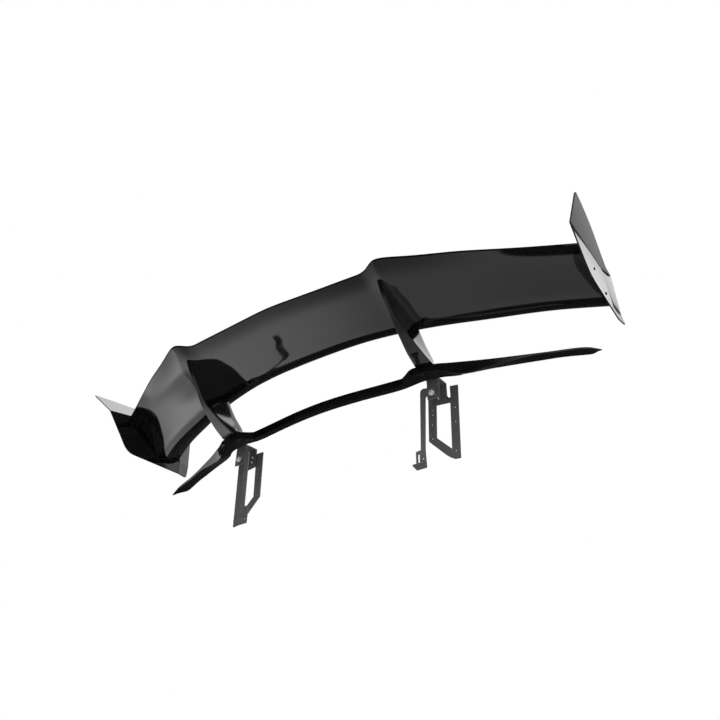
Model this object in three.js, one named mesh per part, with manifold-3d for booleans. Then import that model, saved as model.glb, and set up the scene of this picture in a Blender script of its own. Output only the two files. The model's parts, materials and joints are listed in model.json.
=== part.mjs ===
// Racing rear wing on two swan-necked uprights, with a lip base and under-deck brackets.
// Millimetres. +X is the right-hand side seen from behind, +Y forward, +Z up.
// The origin is the centre of the base bridge's flat underside.
import * as THREE from 'three';
import { mergeVertices } from 'three/addons/utils/BufferGeometryUtils.js';
import Module from 'manifold-3d';

const wasm = await Module();
wasm.setup();

// ---- driving dimensions -------------------------------------------------------------------
const WING_HALF = 835.5;
const WING_Z = 174;
const WING_TIP_RISE = 12;
const SKIN = 2.2;
const INNER_ROOM = 1.4;
const BOND_GAP = 0.4;
const FIT = 0.4;
const PLATE_THICKNESS = 4;
const SHELL = 3;
const STEEL = 4;
const BRACKET_LEAN = THREE.MathUtils.degToRad(13);
const PIVOT = { x: 338, y: 50, z: -38 };
const PIVOT_RADIUS = 4;
const STAY_TO_FRAME = 60;

// plan of the wing: [distance from the centre, y]
const LEADING_EDGE = [[0, 0], [150, 6], [260, 28], [400, 78], [540, 151], [690, 230], [WING_HALF, 330]];
const TRAILING_EDGE = [[0, -250], [120, -241], [245, -228], [290, -221], [312, -224], [343, -241],
  [362, -238], [380, -230], [458, -182], [534, -140], [690, -38], [WING_HALF, 58]];
const WING_STATIONS = [0, 75, 150, 210, 255, 285, 300, 315, 330, 345, 362, 385, 420, 470, 540, 610, 690, 765,
  WING_HALF];

// aerofoil, in chords behind and above the leading edge:
// [back, centre lower, tip lower, centre upper, tip upper]
const SECTION = [
  [0.00, 0.030, 0.030, 0.030, 0.030],
  [0.02, -0.004, 0.000, 0.060, 0.062],
  [0.06, -0.040, -0.022, 0.086, 0.094],
  [0.13, -0.078, -0.062, 0.104, 0.116],
  [0.21, -0.090, -0.084, 0.113, 0.128],
  [0.30, -0.062, -0.077, 0.118, 0.138],
  [0.40, -0.020, -0.038, 0.125, 0.151],
  [0.50, 0.017, 0.022, 0.135, 0.173],
  [0.60, 0.050, 0.078, 0.147, 0.216],
  [0.68, 0.077, 0.122, 0.159, 0.264],
  [0.76, 0.103, 0.163, 0.174, 0.302],
  [0.84, 0.130, 0.198, 0.195, 0.308],
  [0.92, 0.172, 0.225, 0.222, 0.290],
  [1.00, 0.230, 0.240, 0.252, 0.262],
];
const SECTION_BLEND = [380, 760];

// base lip: [x, rear top y, z, rear bottom y, z, front y, z, top flat depth]
const BASE_SECTIONS = [
  [0, -8, 26, -11, 0, 12, 0, 3],
  [80, -3, 26, -6, 0, 17, 0, 3],
  [160, 9, 26, 6, 0, 28, 0, 3],
  [230, 21, 26, 18, 0, 42, 0, 3],
  [262, 24, 26, 21, 2, 47, 2, 4],
  [280, 15, 28, 13, 4, 49, 4, 20],
  [296, 1, 30, -1, 6, 51, 6, 46],
  [314, -5, 30, -7, 8, 52, 8, 57],
  [345, 4, 30, 2, 8, 57, 8, 52],
  [378, 15, 30, 14, 8, 68, 8, 44],
  [396, 31, 31, 31, 7, 84, 9, 20],
  [420, 52, 34, 60, -4, 110, 16, 6],
  [460, 80, 36, 92, 6, 145, 28, 4],
  [500, 107, 38, 117, 16, 169, 34, 3],
  [540, 132, 40, 142, 26, 188, 36, 3],
  [580, 156, 42, 166, 36, 208, 38, 3],
  [620, 181, 44, 188, 40, 229, 40, 3],
  [660, 203, 45, 210, 41, 246, 41, 3],
  [700, 222, 46, 228, 42, 267, 41, 3],
  [735, 234, 43, 239, 39, 282, 38, 3],
  [757, 238, 37, 241, 33.5, 287, 34.5, 2],
  [772, 241, 29, 243, 26, 262, 27.5, 1.5],
  [787, 243, 20, 244, 18.3, 248, 19, 0.8],
];
const BASE_SPLIT = 262;
const LIP_EDGE = 2.5;

// upright: [z, rear y inboard, rear centre x, rear width, front y, front centre x, front width]
const UPRIGHT_SECTIONS = [
  [31.9, -4, 346, 49, 54, 340, 46],
  [48, -48, 344, 42, 60, 341, 42],
  [66, -76, 342.5, 33, 66, 341.5, 38],
  [93, -122, 342, 20, 34, 342, 30],
  [130, -146, 337, 12, 12, 342, 26],
  [157, -166, 336, 12, -4, 341, 22],
  [190, -188, 336, 12, -8, 340, 20],
  [245, -204, 336, 12, -8, 340, 20],
];
const PAD_TOP = 30;
const CHANNEL_X = [321, 358];
const CHANNEL_TOP = 16;
const TONGUE_REAR = 12;
const UPRIGHT_FIN = 12;
const MERGE_WITHIN = 1e-4;
const SAME_POINT = 1e-3;

// ---- helpers ------------------------------------------------------------------------------
const black = new THREE.MeshStandardMaterial({ color: 0x0b0c0e, roughness: 0.12, metalness: 0.0 });
const core = new THREE.MeshStandardMaterial({ color: 0x8f9499, roughness: 0.4, metalness: 1.0 });
const steel = new THREE.MeshStandardMaterial({ color: 0x3c3e41, roughness: 0.45, metalness: 0.6 });
const zinc = new THREE.MeshStandardMaterial({ color: 0xc9ccd0, roughness: 0.3, metalness: 1.0 });
const rubber = new THREE.MeshStandardMaterial({ color: 0x161616, roughness: 0.85, metalness: 0.0 });

const wing = new THREE.Group();

function addPart(name, geometry, material) {
  const mesh = new THREE.Mesh(geometry, material);
  mesh.name = name;
  wing.add(mesh);
}

// value at x of a smooth curve through [x, value] points
function through(points, x, column = 1) {
  let i = 0;
  while (i < points.length - 2 && x > points[i + 1][0]) i += 1;
  const [a, b] = [points[i], points[i + 1]];
  const before = points[i - 1] ?? a;
  const after = points[i + 2] ?? b;
  const span = b[0] - a[0];
  const slopeA = (b[column] - before[column]) / (b[0] - before[0]);
  const slopeB = (after[column] - a[column]) / (after[0] - a[0]);
  const t = (x - a[0]) / span;
  return (2 * t ** 3 - 3 * t ** 2 + 1) * a[column] + (t ** 3 - 2 * t ** 2 + t) * span * slopeA
    + (3 * t ** 2 - 2 * t ** 3) * b[column] + (t ** 3 - t ** 2) * span * slopeB;
}

function meshFrom(positions, index) {
  const geometry = new THREE.BufferGeometry();
  geometry.setAttribute('position', new THREE.Float32BufferAttribute(positions, 3));
  geometry.setIndex(index);
  return outward(geometry);
}

// turns a closed mesh right side out
function outward(geometry) {
  const position = geometry.getAttribute('position');
  const index = geometry.getIndex().array;
  const [a, b, c] = [new THREE.Vector3(), new THREE.Vector3(), new THREE.Vector3()];
  let volume = 0;
  for (let i = 0; i < index.length; i += 3) {
    a.fromBufferAttribute(position, index[i]);
    b.fromBufferAttribute(position, index[i + 1]);
    c.fromBufferAttribute(position, index[i + 2]);
    volume += a.dot(b.cross(c));
  }
  if (volume < 0) {
    for (let i = 0; i < index.length; i += 3) {
      [index[i], index[i + 1]] = [index[i + 1], index[i]];
    }
  }
  return geometry;
}

// closed solid through a row of loops of [x, y, z] points, capped on the plane of `capAxes`
function loft(loops, capAxes) {
  const count = loops[0].length;
  const positions = loops.flat(2);
  const index = [];
  for (let s = 0; s < loops.length - 1; s += 1) {
    for (let p = 0; p < count; p += 1) {
      const [a, b] = [s * count + p, s * count + (p + 1) % count];
      index.push(a, b, a + count, b, b + count, a + count);
    }
  }
  for (const s of [0, loops.length - 1]) {
    const outline = loops[s].map((p) => new THREE.Vector2(p[capAxes[0]], p[capAxes[1]]));
    const turned = THREE.ShapeUtils.isClockWise(outline);
    const flip = (s === 0) === turned;
    for (const [i, j, k] of THREE.ShapeUtils.triangulateShape(outline, [])) {
      index.push(s * count + i, s * count + (flip ? k : j), s * count + (flip ? j : k));
    }
  }
  return consistent(meshFrom(positions, index), count, loops.length);
}

// the walls set the sense: if the first cap disagrees with them, both caps are turned
function consistent(geometry, count, rows) {
  const index = geometry.getIndex().array;
  const walls = (rows - 1) * count * 6;
  const edges = new Set();
  for (let i = 0; i < walls; i += 3) {
    for (const [a, b] of [[i, i + 1], [i + 1, i + 2], [i + 2, i]]) edges.add(`${index[a]},${index[b]}`);
  }
  for (let i = walls; i < index.length; i += 3) {
    const sides = [[i, i + 1], [i + 1, i + 2], [i + 2, i]];
    const clash = sides.some(([a, b]) => edges.has(`${index[a]},${index[b]}`));
    if (clash) {
      for (let j = walls; j < index.length; j += 3) [index[j], index[j + 1]] = [index[j + 1], index[j]];
      break;
    }
  }
  return outward(geometry);
}

// positions only, with shared vertices merged
function toIndexed(geometry) {
  const bare = geometry.clone();
  bare.deleteAttribute('normal');
  bare.deleteAttribute('uv');
  return mergeVertices(bare, MERGE_WITHIN);
}

function toSolid(geometry) {
  const merged = toIndexed(geometry);
  return new wasm.Manifold(new wasm.Mesh({
    numProp: 3,
    vertProperties: new Float32Array(merged.getAttribute('position').array),
    triVerts: new Uint32Array(merged.getIndex().array),
  }));
}

function fromSolid(solid) {
  const mesh = solid.getMesh();
  const geometry = new THREE.BufferGeometry();
  geometry.setAttribute('position', new THREE.BufferAttribute(mesh.vertProperties, 3));
  geometry.setIndex(new THREE.BufferAttribute(mesh.triVerts, 1));
  return geometry;
}

function cut(geometry, ...tools) {
  return fromSolid(tools.reduce((solid, tool) => solid.subtract(toSolid(tool)), toSolid(geometry)));
}

function join(...parts) {
  return fromSolid(parts.slice(1).reduce((solid, part) => solid.add(toSolid(part)), toSolid(parts[0])));
}

function mirrored(geometry) {
  const copy = geometry.clone().scale(-1, 1, 1);
  const index = copy.getIndex().array;
  for (let i = 0; i < index.length; i += 3) [index[i], index[i + 1]] = [index[i + 1], index[i]];
  return copy;
}

// builds one piece for the right side and its mirror image for the left
function addPair(name, geometry, material) {
  const indexed = toIndexed(geometry);
  addPart(`right_${name}`, indexed, material);
  addPart(`left_${name}`, mirrored(indexed), material);
}

function box(low, high) {
  const size = high.map((v, i) => v - low[i]);
  const middle = high.map((v, i) => (v + low[i]) / 2);
  return new THREE.BoxGeometry(...size).translate(...middle);
}

// round bar from `start` along the unit vector `axis`
function rod(start, axis, length, radius, sides = 16) {
  const bar = new THREE.CylinderGeometry(radius, radius, length, sides).translate(0, length / 2, 0);
  bar.applyQuaternion(new THREE.Quaternion().setFromUnitVectors(new THREE.Vector3(0, 1, 0), axis));
  return bar.translate(...start);
}

// bolt whose head sits on `seat`, with its shank along `axis`
function bolt(seat, axis, radius, length, headRadius, headHeight, headSides = 6) {
  const headStart = seat.map((v, i) => v - axis.getComponent(i) * headHeight);
  return join(rod(headStart, axis, headHeight, headRadius, headSides),
    rod(headStart, axis, headHeight + length, radius, 12));
}

function ring(start, axis, thickness, outer, inner, sides = 16) {
  const before = start.map((v, i) => v - axis.getComponent(i));
  return cut(rod(start, axis, thickness, outer, sides), rod(before, axis, thickness + 2, inner, 12));
}

// ---- wing ---------------------------------------------------------------------------------
function chordAt(x) {
  const front = through(LEADING_EDGE, Math.abs(x));
  const back = through(TRAILING_EDGE, Math.abs(x));
  return { front, chord: front - back, z: WING_Z + WING_TIP_RISE * (x / WING_HALF) ** 2 };
}

// lower or upper surface points [y, z] from the leading edge back
function surface(x, side) {
  const { front, chord, z } = chordAt(x);
  const blend = THREE.MathUtils.smoothstep(Math.abs(x), ...SECTION_BLEND);
  return SECTION.map((row) => {
    const [centre, tip] = side === 'lower' ? [row[1], row[2]] : [row[3], row[4]];
    return [front - row[0] * chord, z + THREE.MathUtils.lerp(centre, tip, blend) * chord];
  });
}

// unit normals in the section plane, pointing out of the aerofoil
function normals(x) {
  const loop = [...surface(x, 'lower').reverse(), ...surface(x, 'upper').slice(1)];
  return loop.map((point, i) => {
    const [a, b] = [loop[Math.max(i - 1, 0)], loop[Math.min(i + 1, loop.length - 1)]];
    const length = Math.hypot(b[0] - a[0], b[1] - a[1]);
    return [(b[1] - a[1]) / length, -(b[0] - a[0]) / length];
  });
}

// one section point moved in by `depth`, which thins out where the aerofoil is thin
function inset(x, side, i, depth, spare = BOND_GAP / 2) {
  const last = SECTION.length - 1;
  const [lower, upper] = [surface(x, 'lower'), surface(x, 'upper')];
  const normal = normals(x)[side === 'lower' ? last - i : last + i];
  const room = (upper[i][1] - lower[i][1]) / 2 - spare;
  const used = i === 0 ? depth : Math.min(depth, room);
  const [y, z] = (side === 'lower' ? lower : upper)[i];
  const nose = i === 0 ? (side === 'lower' ? -spare : spare) : 0;
  return [x, y - normal[0] * used, z - normal[1] * used + nose];
}

function skinLoop(x, side) {
  const outer = SECTION.map((_, i) => inset(x, side, i, 0));
  const inner = SECTION.map((_, i) => inset(x, side, i, SKIN));
  return [...outer, ...inner.reverse()];
}

function distance(a, b) {
  return Math.hypot(...a.map((v, i) => v - b[i]));
}

// the whole aerofoil as one solid, grown outwards by `grow`, between rows `from` and `to` of SECTION
function aerofoil(stations, grow, from = 0, to = SECTION.length - 1) {
  const rows = Array.from({ length: to - from + 1 }, (_, i) => from + i);
  return loft(stations.map((x) => [
    ...rows.map((i) => inset(x, 'lower', i, -grow, 0)),
    ...rows.slice().reverse().map((i) => inset(x, 'upper', i, -grow, 0)),
  ].filter((point, i, all) => i === 0 || distance(point, all[i - 1]) > SAME_POINT)), [1, 2]);
}

const bothSides = [...WING_STATIONS.slice(1).reverse().map((x) => -x), ...WING_STATIONS];

// tab of the upright blade that reaches up into the wing
const BLADE_X = [336, 340.4];
const TAB_Y = [-120, -60];
const RIB_X = [318, 362];
const RIB_ROWS = [5, 9];
const ribStations = [RIB_X[0], 340, RIB_X[1]];

const tabSlot = box([BLADE_X[0] - FIT, TAB_Y[0] - FIT, 130], [BLADE_X[1] + FIT, TAB_Y[1] + FIT, 203]);
addPart('wing_upper_skin', loft(bothSides.map((x) => skinLoop(x, 'upper')), [1, 2]), black);
addPart('wing_lower_skin', cut(loft(bothSides.map((x) => skinLoop(x, 'lower')), [1, 2]),
  tabSlot, mirrored(toIndexed(tabSlot))), black);

// box spar behind the nose, following the sweep between the end ribs
const SPAR_ROWS = [3, 4];
const sparEnd = 822;
const sparStations = [...WING_STATIONS.slice(0, -1), sparEnd];
const sparBoth = [...sparStations.slice(1).reverse().map((x) => -x), ...sparStations];
addPart('wing_spar', aerofoil(sparBoth, -(SKIN + INNER_ROOM), ...SPAR_ROWS), core);

// trailing-edge stringer
const STRINGER_ROWS = [10, 11];
addPart('wing_stringer', aerofoil(sparBoth, -(SKIN + INNER_ROOM), ...STRINGER_ROWS), core);

// ribs that take the upright blades, with cross pins
const ribSlot = box([BLADE_X[0] - FIT, TAB_Y[0] - FIT, 120], [BLADE_X[1] + FIT, TAB_Y[1] + FIT, 209]);
const RIB_PINS = [[-104, 201], [-78, 198]];
const PIN_RADIUS = 4;
const xAxis = new THREE.Vector3(1, 0, 0);
const pinHoles = RIB_PINS.map(([y, z]) => rod([RIB_X[0] - 4, y, z], xAxis, 60, PIN_RADIUS + FIT, 12));
const ribBody = aerofoil(ribStations, -(SKIN + INNER_ROOM), ...RIB_ROWS);
addPair('mount_rib', cut(ribBody, ribSlot, ...pinHoles), core);
for (const [i, [y, z]] of RIB_PINS.entries()) {
  addPair(`rib_pin_${i + 1}`, rod([RIB_X[0] + 1, y, z], xAxis, 42, PIN_RADIUS, 12), zinc);
}

// closing ribs and the end-plate screws
const END_RIB = [WING_HALF - 8, WING_HALF];
const PLATE_SCREWS = [[262, 196], [170, 232]];
const SCREW_RADIUS = 2.5;
const END_ROWS = [1, 10];
const screwHoles = PLATE_SCREWS
  .map(([y, z]) => rod([WING_HALF - 14, y, z], xAxis, 40, SCREW_RADIUS + FIT, 12));
addPair('end_rib', cut(aerofoil(END_RIB, -(SKIN + INNER_ROOM), ...END_ROWS), ...screwHoles), core);

// ---- end plates ---------------------------------------------------------------------------
// corner points [y, z]: rear top, rear fold, rear low, front low, front top
const PLATE = {
  tip: [-62, 336], fold: [-23, 276], rearLow: [66, 146], frontLow: [386.5, 142], frontTop: [413, 338],
};
const PLATE_X = WING_HALF + FIT + PLATE_THICKNESS / 2;
const PLATE_TIP_X = 878;
const FLARE_BELOW = 186;
const BEND_Y = 336;
const BEND = 0.14;

// how far the plate turns out ahead of the wing's nose
function bendAt(y) {
  return Math.max(0, y - BEND_Y) * BEND;
}

function plateX(y, z) {
  const depth = PLATE.frontLow[0] - PLATE.rearLow[0];
  const forward = THREE.MathUtils.clamp((y - PLATE.rearLow[0]) / depth, 0, 1);
  return PLATE_X + Math.max(0, FLARE_BELOW - z) * (0.04 + 0.10 * forward) + bendAt(y);
}

function cantedX(y, z) {
  const [[y1, z1], [y2, z2]] = [PLATE.fold, PLATE.frontTop];
  const length = Math.hypot(y2 - y1, z2 - z1);
  const above = ((y2 - y1) * (z - z1) - (z2 - z1) * (y - y1)) / length;
  const tipAbove = ((y2 - y1) * (PLATE.tip[1] - z1) - (z2 - z1) * (PLATE.tip[0] - y1)) / length;
  return PLATE_X + (PLATE_TIP_X - PLATE_X) * (above / tipAbove) + bendAt(y);
}

function rounded(before, corner, after, radius, steps) {
  const toward = (target) => {
    const length = Math.hypot(target[0] - corner[0], target[1] - corner[1]);
    return corner.map((v, i) => v + (target[i] - v) * radius / length);
  };
  const curve = new THREE.QuadraticBezierCurve(new THREE.Vector2(...toward(before)),
    new THREE.Vector2(...corner), new THREE.Vector2(...toward(after)));
  return curve.getPoints(steps).map((p) => [p.x, p.y]);
}

function alongLine(a, b, z) {
  return [a[0] + (b[0] - a[0]) * (z - a[1]) / (b[1] - a[1]), z];
}

function alongY(a, b, y) {
  return [y, a[1] + (b[1] - a[1]) * (y - a[0]) / (b[0] - a[0])];
}

function endPlate() {
  const { tip, fold, rearLow, frontLow, frontTop } = PLATE;
  const bulge = [188, 356];
  const topEdge = new THREE.QuadraticBezierCurve(new THREE.Vector2(...frontTop), new THREE.Vector2(...bulge),
    new THREE.Vector2(...tip)).getPoints(8).slice(1, -1).map((p) => [p.x, p.y]);
  const kneeRear = alongLine(fold, rearLow, FLARE_BELOW);
  const kneeFront = alongLine(frontLow, frontTop, FLARE_BELOW);
  const foldBend = alongY(fold, frontTop, BEND_Y);
  const kneeBend = [BEND_Y, FLARE_BELOW];
  const lowBend = alongY(rearLow, frontLow, BEND_Y);
  const panels = [
    { outline: [kneeRear, ...rounded(kneeRear, rearLow, frontLow, 34, 4), lowBend, kneeBend], x: plateX },
    { outline: [kneeBend, lowBend, ...rounded(rearLow, frontLow, frontTop, 10, 3), kneeFront], x: plateX },
    { outline: [fold, kneeRear, kneeBend, foldBend], x: plateX },
    { outline: [foldBend, kneeBend, kneeFront, frontTop], x: plateX },
    { outline: [frontTop, ...topEdge, ...rounded(topEdge.at(-1), tip, fold, 9, 3), fold, foldBend],
      x: cantedX },
  ];
  const [positions, index] = [[], []];
  const key = new Map();
  const vertex = ([y, z], x, side) => {
    const name = `${y.toFixed(3)},${z.toFixed(3)},${side}`;
    if (!key.has(name)) {
      key.set(name, positions.length / 3);
      positions.push(x(y, z) + side * PLATE_THICKNESS / 2, y, z);
    }
    return key.get(name);
  };
  const edges = new Map();
  for (const { outline, x } of panels) {
    const flat = outline.map(([y, z]) => new THREE.Vector2(y, z));
    for (const face of THREE.ShapeUtils.triangulateShape(flat, [])) {
      const outer = face.map((i) => vertex(outline[i], x, 1));
      const inner = face.map((i) => vertex(outline[i], x, -1));
      index.push(...outer, inner[0], inner[2], inner[1]);
      for (const [a, b] of [[0, 1], [1, 2], [2, 0]]) {
        edges.set(`${outer[a]},${outer[b]}`, [outer[a], outer[b], inner[a], inner[b]]);
      }
    }
  }
  for (const [name, [a, b, c, d]] of edges) {
    const twin = name.split(',').reverse().join(',');
    if (!edges.has(twin)) index.push(b, a, c, b, c, d);
  }
  return meshFrom(positions, index);
}

addPair('end_plate', cut(endPlate(), ...screwHoles), black);
const plateFace = PLATE_X + PLATE_THICKNESS / 2;
const inward = new THREE.Vector3(-1, 0, 0);
for (const [i, [y, z]] of PLATE_SCREWS.entries()) {
  const screw = bolt([plateFace + FIT, y, z], inward, SCREW_RADIUS, 12, 4.5, 1.6, 12);
  addPair(`end_plate_screw_${i + 1}`, screw, black);
}

// ---- uprights -----------------------------------------------------------------------------
// rounded four-cornered loop at one height, drawn in by `inside`
function uprightLoop([z, rearY, rearX, rearWidth, frontY, frontX, frontWidth], inside) {
  const [rw, fw] = [rearWidth / 2 - inside, frontWidth / 2 - inside];
  const [ry, fy] = [rearY + inside, frontY - inside];
  const slant = (rearWidth - UPRIGHT_FIN) * 0.35;
  const soft = Math.min(fw * 0.9, 12);
  return [
    [rearX + rw, ry + slant + 1, z], [rearX + rw * 0.8, ry + slant * 0.9, z],
    [rearX - rw * 0.8, ry, z], [rearX - rw, ry + 1, z],
    [frontX - fw, fy - soft, z], [frontX - fw * 0.7, fy - soft * 0.35, z], [frontX - fw * 0.25, fy, z],
    [frontX + fw * 0.25, fy, z], [frontX + fw * 0.7, fy - soft * 0.35, z], [frontX + fw, fy - soft, z],
  ];
}

const wingRoom = aerofoil([270, 285, 300, 315, 330, 345, 362, 385, 420], FIT);
const uprightOuter = loft(UPRIGHT_SECTIONS.map((row) => uprightLoop(row, 0)), [0, 1]);
const openFoot = [20, ...UPRIGHT_SECTIONS[0].slice(1)];
const uprightInner = loft([openFoot, ...UPRIGHT_SECTIONS].map((row) => uprightLoop(row, SHELL)), [0, 1]);

const FOOT_SCREWS = [[12, 47], [30, 47]];
const FOOT_SCREW_RADIUS = 2.2;
const footScrewHoles = FOOT_SCREWS.map(([y, z]) => rod([300, y, z], xAxis, 34, FOOT_SCREW_RADIUS + FIT, 10));

function underWing(geometry) {
  const solid = toSolid(geometry).subtract(toSolid(wingRoom));
  const pieces = solid.decompose();
  return fromSolid(pieces.reduce((a, b) => (a.volume() > b.volume() ? a : b)));
}

addPair('upright', cut(underWing(cut(uprightOuter, uprightInner)), ...footScrewHoles), black);
for (const [i, [y, z]] of FOOT_SCREWS.entries()) {
  addPair(`upright_screw_${i + 1}`, bolt([317.8, y, z], xAxis, FOOT_SCREW_RADIUS, 8, 4, 2, 10), zinc);
}

// steel blade inside each upright: a foot flange on the base and a tab up into the wing
const GASKET = 1.5;
const FOOT_FLOOR = PAD_TOP + GASKET + FIT;
const FOOT_BOLTS = [[330, 26], [351, 26]];
const FOOT_BOLT_RADIUS = 3;
const down = new THREE.Vector3(0, 0, -1);
const footHoles = (low, length) => FOOT_BOLTS.map(([x, y]) => rod([x, y, low + length], down, length,
  FOOT_BOLT_RADIUS + FIT, 12));

function uprightBlade() {
  const side = new THREE.Shape();
  side.moveTo(12, FOOT_FLOOR);
  side.lineTo(40, FOOT_FLOOR);
  side.lineTo(44, 66);
  side.lineTo(6, 120);
  side.lineTo(-40, 140);
  side.lineTo(TAB_Y[1], 150);
  side.lineTo(TAB_Y[1], 206);
  side.lineTo(TAB_Y[0], 208);
  side.lineTo(TAB_Y[0], 140);
  side.lineTo(-100, 104);
  side.lineTo(-58, 70);
  side.closePath();
  const web = new THREE.ExtrudeGeometry(side, { depth: BLADE_X[1] - BLADE_X[0], bevelEnabled: false });
  const placed = web.rotateX(Math.PI / 2).rotateZ(Math.PI / 2).translate(BLADE_X[0], 0, 0);
  const flange = box([325, 10, FOOT_FLOOR], [357, 40, FOOT_FLOOR + STEEL]);
  const pins = RIB_PINS.map(([y, z]) => rod([330, y, z], xAxis, 20, PIN_RADIUS + FIT, 12));
  return cut(join(flange, placed), ...pins, ...footHoles(PAD_TOP - 5, 20));
}

addPair('upright_blade', uprightBlade(), core);
const gasketBody = box([319, 8, PAD_TOP + 0.2], [364, 50, PAD_TOP + GASKET]);
addPair('foot_gasket', cut(gasketBody, ...footHoles(20, 30)), rubber);

// ---- base ---------------------------------------------------------------------------------
// loop of one base section: rear top, top front edge, nose, flat underside, rear bottom
function baseLoop([x, topY, topZ, lowY, lowZ, frontY, frontZ, flat]) {
  const thin = Math.min(LIP_EDGE, (topZ - lowZ) * 0.3);
  const kneeY = THREE.MathUtils.lerp(lowY, frontY, 0.62);
  const kneeZ = THREE.MathUtils.lerp(lowZ, frontZ, 0.55);
  return [
    [x, topY, topZ - thin], [x, topY + thin * 0.6, topZ], [x, topY + thin * 0.6 + flat, topZ],
    [x, THREE.MathUtils.lerp(topY + flat, frontY, 0.6), THREE.MathUtils.lerp(topZ, frontZ + thin, 0.66)],
    [x, frontY, frontZ + thin], [x, frontY, frontZ], [x, kneeY, kneeZ], [x, lowY, lowZ],
  ];
}

const bridgeRows = BASE_SECTIONS.filter(([x]) => x <= BASE_SPLIT);
const bridgeBoth = [...bridgeRows.slice(1).reverse().map(([x, ...rest]) => [-x, ...rest]), ...bridgeRows];
const lipRows = BASE_SECTIONS.filter(([x]) => x >= BASE_SPLIT)
  .map(([x, ...rest]) => [Math.max(x, BASE_SPLIT + FIT), ...rest]);
addPart('base_bridge', loft(bridgeBoth.map(baseLoop), [1, 2]), black);
const TONGUE_BOTTOM = CHANNEL_TOP - STEEL;
const tongueSlot = box([CHANNEL_X[0] - FIT, TONGUE_REAR - FIT, TONGUE_BOTTOM - FIT],
  [CHANNEL_X[1] + FIT, 100, CHANNEL_TOP + FIT]);
addPair('base_lip', cut(loft(lipRows.map(baseLoop), [1, 2]), tongueSlot,
  ...footHoles(TONGUE_BOTTOM, 40)), black);

// ---- brackets under the deck --------------------------------------------------------------
// bracket plane coordinates: across x, down the leaning bracket from the pivot
const downBracket = new THREE.Vector3(0, -Math.sin(BRACKET_LEAN), -Math.cos(BRACKET_LEAN));
const pivotAxis = new THREE.Vector3(0, Math.cos(BRACKET_LEAN), -Math.sin(BRACKET_LEAN));

// flat plate from an outline of [x, down] points, its near face `ahead` of the pivot
function leaningPlate(outline, ahead, thickness) {
  const shape = new THREE.Shape(outline.map(([x, d]) => new THREE.Vector2(x, -d)));
  const plate = new THREE.ExtrudeGeometry(shape, { depth: thickness, bevelEnabled: false });
  plate.translate(0, 0, -thickness - ahead).rotateX(Math.PI / 2 - BRACKET_LEAN);
  return plate.translate(0, PIVOT.y, PIVOT.z);
}

// point of the bracket's own frame in the part's frame
function onBracket(x, d, ahead) {
  return new THREE.Vector3(x, PIVOT.y, PIVOT.z).addScaledVector(downBracket, d)
    .addScaledVector(pivotAxis, ahead).toArray();
}

function drill(x, d, from, length, radius, sides = 10) {
  return rod(onBracket(x, d, from), pivotAxis, length, radius, sides);
}

// channel ahead of the base: a tapped tongue for the foot bolts in the base's slot, a rear leg for the stay
// and a front leg for the frame
const LEG_REAR = 4;
const LEG_DROP = 14;
const FRONT_LEG_DROP = -6;
const FRAME_BOLTS = [[332, -38], [332, -20]];
const FRAME_BOLT_RADIUS = 3;

function channel() {
  const frontLeg = STAY_TO_FRAME - FIT;
  const at = (d, ahead) => onBracket(0, d, ahead).slice(1);
  const level = (z, ahead) => at((at(0, ahead)[1] - z) / Math.cos(BRACKET_LEAN), ahead);
  const profile = [
    [TONGUE_REAR, CHANNEL_TOP], [TONGUE_REAR, TONGUE_BOTTOM],
    level(TONGUE_BOTTOM, LEG_REAR), at(LEG_DROP, LEG_REAR),
    at(LEG_DROP, LEG_REAR + STEEL), level(TONGUE_BOTTOM, LEG_REAR + STEEL),
    level(TONGUE_BOTTOM, frontLeg - STEEL), at(FRONT_LEG_DROP, frontLeg - STEEL),
    at(FRONT_LEG_DROP, frontLeg), level(CHANNEL_TOP, frontLeg),
  ];
  const body = loft(CHANNEL_X.map((x) => profile.map(([y, z]) => [x, y, z])), [1, 2]);
  return cut(body, drill(PIVOT.x, 0, 0, 20, PIVOT_RADIUS + FIT, 12), ...footHoles(0, 30),
    ...FRAME_BOLTS.map(([x, d]) => drill(x, d, 40, 40, FRAME_BOLT_RADIUS + FIT)));
}

addPair('bracket_channel', channel(), steel);

const frameOutline = [[297, -52], [342, -52], [362, -16], [367, -16], [367, -56], [392, -52], [383, 194],
  [366, 192], [352, 182], [341, 171], [292, 112]];
const frameWindow = [[321, -5], [365, 1], [360, 158], [316, 107]];
const FRAME_HOLES = [[378, 23], [376, 71], [371, 168], [309, 9], [308, 25], [305, 59], [303, 106]];
const FRAME_HOLE_RADIUS = 2.6;
addPair('bracket_frame', cut(leaningPlate(frameOutline, STAY_TO_FRAME, STEEL),
  leaningPlate(frameWindow, STAY_TO_FRAME - 2, STEEL + 4),
  ...FRAME_HOLES.map(([x, d]) => drill(x, d, STAY_TO_FRAME - 5, 20, FRAME_HOLE_RADIUS)),
  ...FRAME_BOLTS.map(([x, d]) => drill(x, d, STAY_TO_FRAME - 5, 20, FRAME_BOLT_RADIUS + FIT))), steel);
const backward = pivotAxis.clone().negate();
for (const [i, [x, d]] of FRAME_BOLTS.entries()) {
  const seat = onBracket(x, d, STAY_TO_FRAME + STEEL + FIT);
  addPair(`frame_bolt_${i + 1}`, bolt(seat, backward, FRAME_BOLT_RADIUS, 13, 5, 3), zinc);
}

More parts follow.
